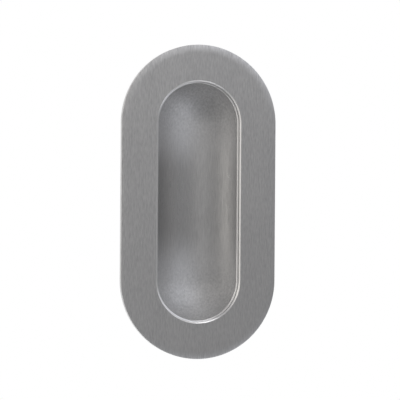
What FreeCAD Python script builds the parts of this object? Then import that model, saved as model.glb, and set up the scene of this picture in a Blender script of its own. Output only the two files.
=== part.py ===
import FreeCAD, Part
import math
import os

# Obround flush pull for a pocket door, in millimetres.
# X runs across the pull, Z runs along it and the face looks towards -Y.
# The origin is the middle of the pull, on the door surface that the plate's back lies on.

# Face plate
plate_width = 60.0
plate_length = 120.0
plate_thickness = 3.0
rim_width = 13.6            # from the plate's outer edge to the edge of the opening, all the way round
edge_crown_width = 2.4      # how far in from the outer edge the front begins to curve back
edge_crown_turn = 15.0      # degrees that it has turned where it meets the side
opening_chamfer = 0.5

# Recess cup, drawn from sheet
recess_depth = 12.0         # from the front of the plate to the deepest line of the cup
sheet_thickness = 1.0
bend_radius = 1.0           # between the lip and the bowl, on the finger's side
bend_setback = 0.35         # how far the bend starts outside the plate's opening
lip_width = 2.4             # flat part of the lip, which is welded into the plate's back
lip_clearance = 0.15        # between the lip's edge and the seat cut for it

# Shared by both pieces
straight_length = plate_length - plate_width
opening_half_width = plate_width / 2 - rim_width
bore_half_width = opening_half_width - opening_chamfer
lip_start = bore_half_width + bend_setback
lip_end = lip_start + lip_width
lip_front = -sheet_thickness    # the lip's back is flush with the plate's back


def point(across, depth):
    return FreeCAD.Vector(across, depth, 0)


def arc(centre, radius, start, end):
    """An arc about a centre between two angles in degrees, where 0 is outwards and 90 is deeper."""
    angles = [math.radians(angle) for angle in (start, (start + end) / 2, end)]
    spots = [centre + point(math.cos(a), math.sin(a)) * radius for a in angles]
    return Part.Arc(*spots).toShape()


def line(start, end):
    return Part.LineSegment(start, end).toShape()


def around_obround(section):
    """Carries a section, drawn on the +X side of the Y axis, once round the obround path."""
    half_turn = 180
    half_length = FreeCAD.Vector(0, 0, straight_length / 2)
    face = Part.Face(section)
    right_side = face.translated(-half_length).extrude(half_length * 2)
    left_side = right_side.rotated(FreeCAD.Vector(0, 0, 0), FreeCAD.Vector(0, 1, 0), half_turn)
    top_end = face.translated(half_length).revolve(half_length, FreeCAD.Vector(0, -1, 0), half_turn)
    bottom_end = face.translated(-half_length).revolve(-half_length, FreeCAD.Vector(0, 1, 0), half_turn)
    whole = right_side.fuse([left_side, top_end, bottom_end]).removeSplitter()
    return whole.Solids[0]


def face_plate():
    """A flat obround ring: crowned outer edge, chamfered opening, and a seat for the lip in its back."""
    outer = plate_width / 2
    front = -plate_thickness
    seat_half_width = lip_end + lip_clearance
    turn = math.radians(edge_crown_turn)
    crown_radius = edge_crown_width / math.sin(turn)
    crown_centre = point(outer - edge_crown_width, front + crown_radius)
    crown_foot = point(outer, crown_centre.y - crown_radius * math.cos(turn))
    corners = [
        crown_foot,
        point(outer, 0),
        point(seat_half_width, 0),
        point(seat_half_width, lip_front),
        point(bore_half_width, lip_front),
        point(bore_half_width, front + opening_chamfer),
        point(opening_half_width, front),
        crown_centre - point(0, crown_radius),
    ]
    sides = [line(*ends) for ends in zip(corners, corners[1:])]
    crown = arc(crown_centre, crown_radius, -90, edge_crown_turn - 90)
    return around_obround(Part.Wire([crown] + sides))


def recess_cup():
    """A drawn sheet cup: flat lip, bend, and a bowl whose arc is centred on the pull's middle line."""
    floor_front = recess_depth - plate_thickness
    bend_centre = point(lip_start, lip_front + bend_radius)
    drop = floor_front - bend_centre.y
    # The bowl touches the floor line and runs into the bend without a corner
    bowl_radius = (lip_start ** 2 + drop ** 2 - bend_radius ** 2) / (2 * (drop + bend_radius))
    bowl_centre = point(0, floor_front - bowl_radius)
    to_bend = bend_centre - bowl_centre
    meeting = math.degrees(math.atan2(to_bend.y, to_bend.x))

    # On the hidden side the bowl runs straight to the back of the lip
    back_radius = bowl_radius + sheet_thickness
    lip_back = lip_front + sheet_thickness
    crease_turn = math.asin((lip_back - bowl_centre.y) / back_radius)
    crease = bowl_centre + point(math.cos(crease_turn), math.sin(crease_turn)) * back_radius

    section = Part.Wire([
        line(point(lip_end, lip_front), point(lip_start, lip_front)),
        arc(bend_centre, bend_radius, -90, meeting - 180),
        arc(bowl_centre, bowl_radius, meeting, 90),
        line(point(0, floor_front), point(0, floor_front + sheet_thickness)),
        arc(bowl_centre, back_radius, 90, math.degrees(crease_turn)),
        line(crease, point(lip_end, lip_back)),
        line(point(lip_end, lip_back), point(lip_end, lip_front)),
    ])
    return around_obround(section)


os.makedirs("parts", exist_ok=True)
for name, shape in (("face_plate", face_plate()), ("recess_cup", recess_cup())):
    shape.exportStep("parts/" + name + ".step")
    box = shape.optimalBoundingBox(False)
    sizes = [round(size, 3) for size in (box.XLength, box.YLength, box.ZLength)]
    print(name, "valid", shape.isValid(), "volume", round(shape.Volume, 1), "sizes", sizes)
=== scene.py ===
import math
import bpy
import numpy as np
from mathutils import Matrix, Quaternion, Vector


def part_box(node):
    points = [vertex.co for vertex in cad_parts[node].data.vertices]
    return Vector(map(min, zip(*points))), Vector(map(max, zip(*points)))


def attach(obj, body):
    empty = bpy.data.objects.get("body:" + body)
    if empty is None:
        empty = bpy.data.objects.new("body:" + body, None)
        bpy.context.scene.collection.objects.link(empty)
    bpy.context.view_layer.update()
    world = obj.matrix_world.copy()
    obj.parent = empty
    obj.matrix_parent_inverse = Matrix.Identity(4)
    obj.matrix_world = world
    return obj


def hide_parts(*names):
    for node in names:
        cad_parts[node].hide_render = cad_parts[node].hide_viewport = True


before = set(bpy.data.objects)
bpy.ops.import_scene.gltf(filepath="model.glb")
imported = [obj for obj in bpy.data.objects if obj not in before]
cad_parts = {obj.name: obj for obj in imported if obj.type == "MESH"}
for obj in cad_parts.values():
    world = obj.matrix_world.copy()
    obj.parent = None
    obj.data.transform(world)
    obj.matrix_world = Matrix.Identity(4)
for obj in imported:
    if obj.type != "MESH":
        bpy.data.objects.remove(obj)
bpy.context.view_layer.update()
mm = 0.001
print("frame loaded:", sorted(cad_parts))

# The obround that the plate and the cup share, taken from the plate's own box
plateLow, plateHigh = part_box("face_plate")
cupLow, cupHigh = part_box("recess_cup")
pull = {
    "halfWidth": round(plateHigh[0], 4),
    "halfLength": round(plateHigh[2], 4),
    "front": round(plateLow[1], 4),
    "cupBack": round(cupHigh[1], 4),
    "lipEnd": round(cupHigh[0], 5),
    "rim": 13.6 * mm,           # plate's outer edge to the opening's edge
    "chamfer": 0.5 * mm,
    "sheet": 1.0 * mm,          # the cup's sheet; its lip is let into the plate's back
    "straightSteps": 56,
    "turnSteps": 128,
}
halfStraight = pull["halfLength"] - pull["halfWidth"]
openingRadius = pull["halfWidth"] - pull["rim"]
boreRadius = openingRadius - pull["chamfer"]


# One turn round the obround, seen from the front: for each step the height of the point on the
# middle line and the outward angle. It runs up the right side and then anticlockwise.
def obroundPath():
    rise = np.linspace(-halfStraight, halfStraight, pull["straightSteps"], endpoint=False)
    turn = np.linspace(0, math.pi, pull["turnSteps"], endpoint=False)
    still = np.full(pull["turnSteps"], halfStraight)
    middle = np.concatenate([rise, still, -rise, -still])
    angle = np.concatenate([rise * 0, turn, rise * 0 + math.pi, turn + math.pi])
    return middle, angle


# A profile of (radius, depth) carried round the obround:
# x = radius cos(angle), y = depth, z = middle + radius sin(angle).
def carriedRound(name, profile, polishAndHighlight, closed):
    middle, angle = obroundPath()
    radius, depth = np.asarray(profile).T
    x = np.cos(angle)[:, None] * radius
    y = np.broadcast_to(depth, x.shape)
    z = middle[:, None] + np.sin(angle)[:, None] * radius
    points = np.stack([x, y, z], axis=-1).reshape(-1, 3)
    rows, columns = x.shape
    here = np.arange(rows)[:, None] * columns
    after = (np.arange(rows)[:, None] + 1) % rows * columns
    column = np.arange(columns if closed else columns - 1)[None, :]
    beside = (column + 1) % columns
    quads = np.stack([here + column, here + beside, after + beside, after + column], axis=-1)
    shine = np.broadcast_to(np.asarray(polishAndHighlight), x.shape).reshape(-1)
    return weldedPiece(name, points, quads.reshape(-1, 4), shine)


# Points that fall on one place become one point, which closes the cup's middle line and its poles.
# A face that loses one corner there becomes a triangle, and one that loses two is dropped.
def weldedPiece(name, points, quads, shine):
    weldStep = 1e-4 * mm
    keys = np.round(points / weldStep).astype(np.int64)
    _, first, back = np.unique(keys, axis=0, return_index=True, return_inverse=True)
    quads = back.reshape(-1)[quads]
    repeated = quads == np.roll(quads, -1, axis=1)
    whole = quads[repeated.sum(axis=1) == 0]
    pinched = repeated.sum(axis=1) == 1
    triangles = quads[pinched][~repeated[pinched]].reshape(-1, 3)
    mesh = bpy.data.meshes.new(name)
    mesh.from_pydata(points[first].tolist(), [], whole.tolist() + triangles.tolist())
    mesh.polygons.foreach_set("use_smooth", np.ones(len(mesh.polygons), bool))
    # The points that get the lighter edge colour, which partly paints the rim's highlight lines.
    mesh.attributes.new("polishAndHighlight", "FLOAT", "POINT").data.foreach_set("value", shine[first])
    mesh.validate()
    mesh.update()
    piece = bpy.data.objects.new(name, mesh)
    bpy.context.scene.collection.objects.link(piece)
    return piece


# Points on an arc, angles in degrees: centre + radius (cos(angle), sin(angle)).
def arcPoints(centre, radius, start, end, steps):
    angle = np.radians(np.linspace(start, end, steps))
    return np.stack([centre[0] + radius * np.cos(angle), centre[1] + radius * np.sin(angle)], axis=-1)


# Each corner of an outline is swapped for a small round: points on the curve
# (1-t)^2 start + 2t(1-t) corner + t^2 end, with a point a little further off on each flat
# so that the flats stay flat in smooth shading.
def softened(corners, sizes, steps=5, flatPoint=1.6):
    corners = np.asarray(corners, float)
    rounds = []
    t = np.linspace(0, 1, steps)[:, None]
    for k in range(1, len(corners) - 1):
        before, corner, after = corners[k - 1], corners[k], corners[k + 1]
        inWay = (before - corner) / np.linalg.norm(before - corner)
        outWay = (after - corner) / np.linalg.norm(after - corner)
        start, end = corner + inWay * sizes[k], corner + outWay * sizes[k]
        rounds.append((corner + inWay * sizes[k] * flatPoint)[None])
        rounds.append((1 - t) ** 2 * start + 2 * t * (1 - t) * corner + t ** 2 * end)
        rounds.append((corner + outWay * sizes[k] * flatPoint)[None])
    return np.concatenate([corners[:1], *rounds, corners[-1:]])


facePlateLook = {
    "crownWidth": 3.0 * mm,        # the front starts to curve back this far from the edge
    "crownTurn": 6.0,              # degrees; less than the CAD's 15, so that the rim stays grey
    "crownSteps": 10,
    "seatClearance": 0.15 * mm,
    "edgeSoftness": 0.08 * mm,
    "cornerShares": (0, 1, 2, 1, 1, 0.7, 0.7, 0.7, 0),  # of that softness, from the crown's foot round
    "faceSteps": 16,
    "faceMargins": (0.4 * mm, 0.1 * mm),  # the face's rows stop short of the opening and the crown
    "polishAndHighlightReach": (0.32 * mm, 0.55 * mm),  # to each side of the chamfer's middle, and down from the face
}


def makeFacePlate(look):
    outer, front = pull["halfWidth"], pull["front"]
    seat, seatFloor = pull["lipEnd"] + look["seatClearance"], -pull["sheet"]
    nearOpening, nearCrown = look["faceMargins"]
    aside, down = look["polishAndHighlightReach"]
    crownRadius = look["crownWidth"] / math.sin(math.radians(look["crownTurn"]))
    crownCentre = (outer - look["crownWidth"], front + crownRadius)
    crown = arcPoints(crownCentre, crownRadius, -90, look["crownTurn"] - 90, look["crownSteps"])
    flatEnd = crown[0] - (nearCrown, 0)
    face = np.linspace((openingRadius + nearOpening, front), flatEnd, look["faceSteps"])
    corners = [crown[-2], crown[-1], (outer, 0), (seat, 0), (seat, seatFloor), (boreRadius, seatFloor),
               (boreRadius, front + pull["chamfer"]), (openingRadius, front), face[0]]
    edges = softened(corners, np.array(look["cornerShares"]) * look["edgeSoftness"])
    profile = np.concatenate([crown[:-2], edges, face[1:]])
    radius, depth = profile.T
    chamferMiddle = (openingRadius + boreRadius) / 2
    # The chamfer's band gets a lighter colour: part polish, part a painted highlight for the rim's bright
    # line.
    polishAndHighlight = (np.abs(radius - chamferMiddle) < aside) & (depth < front + down)
    return carriedRound("facePlate", profile, polishAndHighlight.astype(float), closed=True)


recessCupLook = {
    "bendRadius": 1.0 * mm,
    "bendSetback": 0.35 * mm,
    "bendSteps": 12,
    "bowlSteps": 70,
    "edgeSoftness": 0.12 * mm,
    "lipMargin": 0.2 * mm,         # the flat of the lip starts this far from the bend
    "creaseMargin": 1.0,           # degrees; the outside's rows start this far from the crease
}


def makeRecessCup(look):
    sheet, bend = pull["sheet"], look["bendRadius"]
    lipStart, lipEnd, lipFront = boreRadius + look["bendSetback"], pull["lipEnd"], -pull["sheet"]
    floor = pull["cupBack"] - sheet
    drop = floor - (lipFront + bend)
    bowlRadius = (lipStart ** 2 + drop ** 2 - bend ** 2) / (2 * (drop + bend))
    bowlCentre = np.array((0, floor - bowlRadius))
    bendCentre = np.array((lipStart, lipFront + bend))
    meeting = math.degrees(math.atan2(*(bendCentre - bowlCentre)[::-1]))
    backRadius = bowlRadius + sheet
    creaseTurn = math.asin(-bowlCentre[1] / backRadius)
    crease = bowlCentre + backRadius * np.array((math.cos(creaseTurn), math.sin(creaseTurn)))
    inside = arcPoints(bowlCentre, bowlRadius, 90, meeting, look["bowlSteps"])
    bendLine = arcPoints(bendCentre, bend, meeting - 180, -90, look["bendSteps"])
    outsideStart = math.degrees(creaseTurn) + look["creaseMargin"]
    outside = arcPoints(bowlCentre, backRadius, outsideStart, 90, look["bowlSteps"])
    lipFlat = bendLine[-1] + (look["lipMargin"], 0)
    corners = [lipFlat, (lipEnd, lipFront), (lipEnd, 0), crease, outside[0]]
    edges = softened(corners, np.array([0, 1, 1, 1, 0]) * look["edgeSoftness"])
    profile = np.concatenate([inside, bendLine[1:], edges, outside[1:]])
    polishAndHighlight = np.zeros(len(profile))
    polishAndHighlight[len(inside):len(inside) + len(bendLine) - 1] = 1      # the bend, where the fingers rub; its lighter colour also paints a highlight line along it
    return carriedRound("recessCup", profile, polishAndHighlight, closed=False)


facePlate = makeFacePlate(facePlateLook)
print("face plate made:", len(facePlate.data.polygons), "faces")
recessCup = makeRecessCup(recessCupLook)
print("recess cup made:", len(recessCup.data.polygons), "faces")
placed = ((facePlate, "face_plate", "plate_steel"), (recessCup, "recess_cup", "cup_steel"))
for piece, node, slotName in placed:
    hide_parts(node)
    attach(piece, "root")


plateSteelLook = {
    "darkTone": (0.433, 0.43, 0.432),
    "lightTone": (0.602, 0.598, 0.597),
    "polishAndHighlightTone": (0.73, 0.725, 0.725),      # lighter on the chamfer and the bend: partly polish from handling, partly a painted highlight for the rim's bright lines
    "hair": (0.18 * mm, 3.2 * mm, 2.0),    # width, length and detail of the finest brush lines
    "grain": (0.5 * mm, 2.3 * mm, 3.0),
    "cloud": (7.0 * mm, 16.0 * mm, 2.0),
    "toneShares": (1.4, 2.0, 0.6),         # how much hair, grain and cloud each move the tone
    "roughness": 0.34,
    "roughnessSpread": 0.05,
    "edgeRoughness": 0.36,
    "anisotropy": 0.7,
    "scratchDepth": 0.007 * mm,
}
cupSteelLook = {
    **plateSteelLook,
    "hair": (0.16 * mm, 4.0 * mm, 2.0),
    "grain": (0.3 * mm, 3.2 * mm, 3.0),
    "toneShares": (1.6, 1.3, 0.3),
    "sandFrom": 8.5 * mm,                  # the brushing fades out this far from the middle
    "sandWhole": 38.5 * mm,                # and beyond this the cup is evenly sanded
    "sand": (0.7 * mm, 0.95 * mm, 3.0),
    "sandShare": 1.75,
    "sandRoughness": 0.6,
    "sandAnisotropy": 0.0,
    "roughness": 0.31,
    "anisotropy": 0.82,
}


# One node with its settings. A value that is a socket is linked, and any other is set.
def addNode(tree, kind, inputs=None, **settings):
    node = tree.nodes.new("ShaderNode" + kind)
    for name, value in settings.items():
        setattr(node, name, value)
    for key, value in (inputs or {}).items():
        if isinstance(value, bpy.types.NodeSocket):
            tree.links.new(value, node.inputs[key])
        else:
            node.inputs[key].default_value = value
    return node


def calculate(tree, operation, *values, clamp=False):
    node = addNode(tree, "Math", dict(enumerate(values)), operation=operation, use_clamp=clamp)
    return node.outputs[0]


# How far a value has gone from one end to the other, between two results.
def ranged(tree, value, fromLow, fromHigh, low=0.0, high=1.0, way="LINEAR"):
    inputs = {"Value": value, "From Min": fromLow, "From Max": fromHigh, "To Min": low, "To Max": high}
    return addNode(tree, "MapRange", inputs, interpolation_type=way).outputs[0]


# The first colour where the share is 0 and the second where it is 1.
def blended(tree, share, first, second):
    mix = addNode(tree, "Mix", {0: share}, data_type="RGBA")
    for socket, value in zip([i for i in mix.inputs if i.type == "RGBA"], (first, second)):
        if isinstance(value, bpy.types.NodeSocket):
            tree.links.new(value, socket)
        else:
            socket.default_value = (*value, 1)
    return [o for o in mix.outputs if o.type == "RGBA"][0]


# The same for two values: first + share (second - first).
def blendedValue(tree, share, first, second):
    apart = calculate(tree, "SUBTRACT", second, first)
    return calculate(tree, "ADD", first, calculate(tree, "MULTIPLY", share, apart))


# Noise whose cells have the width and the length given, drawn out along the brush.
def streaks(tree, place, cell):
    width, length, detail = cell
    shrunk = addNode(tree, "Mapping", {"Vector": place, "Scale": (1 / width, 1 / width, 1 / length)})
    noise = addNode(tree, "TexNoise", {"Vector": shrunk.outputs[0], "Scale": 1.0, "Detail": detail})
    return calculate(tree, "SUBTRACT", noise.outputs[0], 0.5)


# Satin steel: brush lines along Z in tone, roughness and relief, over a faint cloud, with the edges
# lighter, partly polished by use and partly a painted highlight. Towards the ends of the cup the brushing
# gives way to an even sanded finish.
def brushedSteel(name, look):
    material = bpy.data.materials.new(name)
    material.use_nodes = True
    tree = material.node_tree
    shader = tree.nodes["Principled BSDF"]
    shader.inputs["Metallic"].default_value = 1.0
    place = addNode(tree, "TexCoord").outputs["Object"]
    edge = addNode(tree, "Attribute", attribute_name="polishAndHighlight").outputs["Fac"]

    shares = look["toneShares"]
    hair = calculate(tree, "MULTIPLY", streaks(tree, place, look["hair"]), shares[0])
    grain = calculate(tree, "MULTIPLY", streaks(tree, place, look["grain"]), shares[1])
    cloud = calculate(tree, "MULTIPLY", streaks(tree, place, look["cloud"]), shares[2])
    relief = calculate(tree, "ADD", hair, grain)
    roughness, anisotropy = look["roughness"], look["anisotropy"]
    if "sand" in look:
        height = calculate(tree, "ABSOLUTE", addNode(tree, "SeparateXYZ", {0: place}).outputs["Z"])
        sanded = ranged(tree, height, look["sandFrom"], look["sandWhole"], way="SMOOTHSTEP")
        sand = calculate(tree, "MULTIPLY", streaks(tree, place, look["sand"]), look["sandShare"])
        relief = blendedValue(tree, sanded, relief, sand)
        roughness = blendedValue(tree, sanded, roughness, look["sandRoughness"])
        anisotropy = blendedValue(tree, sanded, anisotropy, look["sandAnisotropy"])
    tone = calculate(tree, "ADD", calculate(tree, "ADD", relief, cloud), 0.5, clamp=True)

    colour = blended(tree, tone, look["darkTone"], look["lightTone"])
    # The marked edges take a lighter colour, partly polish and partly a painted highlight along the rim.
    tree.links.new(blended(tree, edge, colour, look["polishAndHighlightTone"]), shader.inputs["Base Color"])
    spread = ranged(tree, tone, 0.0, 1.0, look["roughnessSpread"], -look["roughnessSpread"])
    rough = blendedValue(tree, edge, calculate(tree, "ADD", spread, roughness), look["edgeRoughness"])
    tree.links.new(rough, shader.inputs["Roughness"])
    if "sand" in look:
        tree.links.new(anisotropy, shader.inputs["Anisotropic"])
    else:
        shader.inputs["Anisotropic"].default_value = anisotropy
    bump = addNode(tree, "Bump", {"Height": relief, "Strength": 1.0, "Distance": look["scratchDepth"]})
    tree.links.new(bump.outputs[0], shader.inputs["Normal"])

    # The brush runs along Z, so light spreads across it. The small step keeps the direction
    # whole where a face looks straight up or down.
    normal = addNode(tree, "NewGeometry").outputs["Normal"]
    across = addNode(tree, "VectorMath", {0: normal, 1: (0, 0, 1)}, operation="CROSS_PRODUCT").outputs[0]
    steady = addNode(tree, "VectorMath", {0: across, 1: (0.001, 0, 0)}, operation="ADD").outputs[0]
    tree.links.new(steady, shader.inputs["Tangent"])
    return material


facePlate.data.materials.append(brushedSteel("plateSteel", plateSteelLook))
recessCup.data.materials.append(brushedSteel("cupSteel", cupSteelLook))
print("steel finished")

studio = {
    "azimuth": -12.5,
    "elevation": 0.0,
    "distance": 0.9,
    "pixel": 0.3815 * mm,          # what one pixel of a 400 pixel picture covers at the pull
    "picture": 400,
    "aim": (0.4 * mm, 0.7 * mm),   # right and up from the middle of the plate's front
    "lean": 0.4,                   # degrees that the pull leans to the right
    "sensor": 36.0,
    "clip": (0.05, 20.0),
    "front": 0.275,                # light from the camera's side of the room
    "ground": 0.03,                # and from below it
    "groundEdge": (-58.0, -33.0),  # degrees of elevation over which the ground gives way to the room
    "backdrop": 0.9,               # and what the backdrop behind the pull sheds on pale things
    "backdropEdge": (82.0, 92.0),  # degrees round from the front, where one gives way to the other
}

# Azimuth, elevation, half width and half height in degrees, radiance and colour
softPanels = {
    "upperRight": (60, 34, 50, 25, 1.16, (0.95, 0.98, 1.06)),
    "lowerRight": (68, -28, 53, 13, 1.4, (0.95, 0.98, 1.06)),
    "upperLeft": (-36, 30, 51, 26, 0.3, (1.05, 1.0, 0.95)),
    "leftWindow": (-94, -18, 28, 50, 1.25, (1.05, 1.01, 0.94)),
    "overhead": (0, 90, 181, 14, 3.4, (1.0, 1.0, 1.0)),
}
panelSoftness = (12.0, 8.0)    # degrees that a panel's edge fades over, to each side, round and up

# A small soft lamp beside the lens. It is so near that it lights the left of the face a little more
# than the right, and the top more than the foot.
nearLamp = {
    "azimuth": -14.0,
    "elevation": 6.3,
    "distance": 0.3,
    "width": 0.16,
    "height": 0.28,
    "radiance": 0.19,
}


# From the pull towards an azimuth and an elevation in degrees, where azimuth 0 is straight in front:
# (sin a cos e, -cos a cos e, sin e).
def directionTo(azimuth, elevation):
    a, e = math.radians(azimuth), math.radians(elevation)
    return Vector((math.sin(a) * math.cos(e), -math.cos(a) * math.cos(e), math.sin(e)))


def placeCamera(look):
    camera = bpy.data.objects.new("camera", bpy.data.cameras.new("camera"))
    bpy.context.scene.collection.objects.link(camera)
    bpy.context.scene.camera = camera
    back = directionTo(look["azimuth"], look["elevation"])
    right = Vector((0, 0, 1)).cross(back).normalized()
    up = back.cross(right)
    target = Vector((0, pull["front"], 0)) + right * look["aim"][0] + up * look["aim"][1]
    camera.location = target + back * look["distance"]
    camera.rotation_mode = "QUATERNION"
    lean = Quaternion((0, 0, 1), math.radians(look["lean"]))
    camera.rotation_quaternion = (-back).to_track_quat("-Z", "Y") @ lean
    camera.data.sensor_width = look["sensor"]
    camera.data.lens = look["sensor"] * look["distance"] / (look["pixel"] * look["picture"])
    camera.data.clip_start, camera.data.clip_end = look["clip"]


def placeNearLamp(look):
    light = bpy.data.lights.new("nearLamp", "AREA")
    light.shape = "RECTANGLE"
    light.size, light.size_y = look["width"], look["height"]
    light.energy = look["radiance"] * math.pi * look["width"] * look["height"]
    lamp = bpy.data.objects.new("nearLamp", light)
    bpy.context.scene.collection.objects.link(lamp)
    back = directionTo(look["azimuth"], look["elevation"])
    lamp.location = back * look["distance"]
    lamp.rotation_mode = "QUATERNION"
    lamp.rotation_quaternion = (-back).to_track_quat("-Z", "Y")
    lamp.visible_camera = False      # it stands between the camera and the pull


# The azimuth and the elevation, in degrees, of the direction that a world ray goes.
def rayAngles(tree):
    way = addNode(tree, "SeparateXYZ", {0: addNode(tree, "TexCoord").outputs["Generated"]})
    turn = calculate(tree, "ARCTAN2", way.outputs["X"], calculate(tree, "MULTIPLY", way.outputs["Y"], -1.0))
    rise = calculate(tree, "ARCSINE", way.outputs["Z"])
    return calculate(tree, "DEGREES", turn), calculate(tree, "DEGREES", rise)


# 1 inside a panel and 0 outside, with soft edges: the product of a smooth step in each angle.
def panelShape(tree, azimuth, elevation, panel):
    turned = calculate(tree, "WRAP", calculate(tree, "SUBTRACT", azimuth, panel[0]), 180.0, -180.0)
    risen = calculate(tree, "SUBTRACT", elevation, panel[1])
    sides = []
    for offset, half, soft in zip((turned, risen), panel[2:4], panelSoftness):
        offset = calculate(tree, "ABSOLUTE", offset)
        sides.append(ranged(tree, offset, half - soft, half + soft, 1.0, 0.0, "SMOOTHSTEP"))
    return calculate(tree, "MULTIPLY", *sides)


# A grey room with soft panels before the pull, beside it and overhead, and a white backdrop behind it.
# The camera sees the backdrop's white all round, and the metal mirrors it where the backdrop stands.
def studioWorld(look, panels):
    world = bpy.data.worlds.new("studio")
    bpy.context.scene.world = world
    world.use_nodes = True
    tree = world.node_tree
    azimuth, elevation = rayAngles(tree)
    behind = ranged(tree, calculate(tree, "ABSOLUTE", azimuth), *look["backdropEdge"], way="SMOOTHSTEP")
    below = ranged(tree, elevation, *look["groundEdge"], 1.0, 0.0, "SMOOTHSTEP")
    front = blendedValue(tree, below, look["front"], look["ground"])
    light = blendedValue(tree, behind, front, look["backdrop"])
    for panel in panels.values():
        shape = panelShape(tree, azimuth, elevation, panel)
        radiance = tuple(panel[4] * c for c in panel[5])
        glow = addNode(tree, "VectorMath", {0: radiance, "Scale": shape}, operation="SCALE")
        light = addNode(tree, "VectorMath", {0: light, 1: glow.outputs[0]}, operation="ADD").outputs[0]
    path = addNode(tree, "LightPath").outputs
    mirrored = calculate(tree, "MAXIMUM", path["Is Glossy Ray"], path["Is Transmission Ray"])
    white = calculate(tree, "MAXIMUM", path["Is Camera Ray"], calculate(tree, "MULTIPLY", mirrored, behind))
    colour = blended(tree, white, light, (1.0, 1.0, 1.0))
    tree.links.new(colour, tree.nodes["Background"].inputs["Color"])


floorLook = {
    "drop": 0.16,                  # below the middle of the pull, out of the picture
    "front": -0.06,                # it begins just before the pull and runs back under the backdrop
    "back": 0.9,
    "halfWidth": 0.8,
    "colour": (0.8, 0.8, 0.8),
    "roughness": 0.9,
    "lift": 0.25,                  # added where a ray from the camera or from polished metal meets it
}


def makeFloor(look):
    x, front, back, z = look["halfWidth"], look["front"], look["back"], -look["drop"]
    mesh = bpy.data.meshes.new("floor")
    mesh.from_pydata([(-x, front, z), (x, front, z), (x, back, z), (-x, back, z)], [], [(0, 1, 2, 3)])
    floor = bpy.data.objects.new("floor", mesh)
    bpy.context.scene.collection.objects.link(floor)
    material = bpy.data.materials.new("paleFloor")
    material.use_nodes = True
    tree = material.node_tree
    shader = tree.nodes["Principled BSDF"]
    shader.inputs["Base Color"].default_value = (*look["colour"], 1)
    shader.inputs["Roughness"].default_value = look["roughness"]
    path = addNode(tree, "LightPath").outputs
    seen = calculate(tree, "MAXIMUM", path["Is Camera Ray"], path["Is Glossy Ray"])
    seen = calculate(tree, "MAXIMUM", seen, path["Is Transmission Ray"])
    tree.links.new(calculate(tree, "MULTIPLY", seen, look["lift"]), shader.inputs["Emission Strength"])
    shader.inputs["Emission Color"].default_value = (1, 1, 1, 1)
    mesh.materials.append(material)


placeCamera(studio)
studioWorld(studio, softPanels)
placeNearLamp(nearLamp)
makeFloor(floorLook)
bpy.context.scene.view_settings.view_transform = "Standard"
print("studio lit:", len(softPanels), "soft panels and a near lamp")
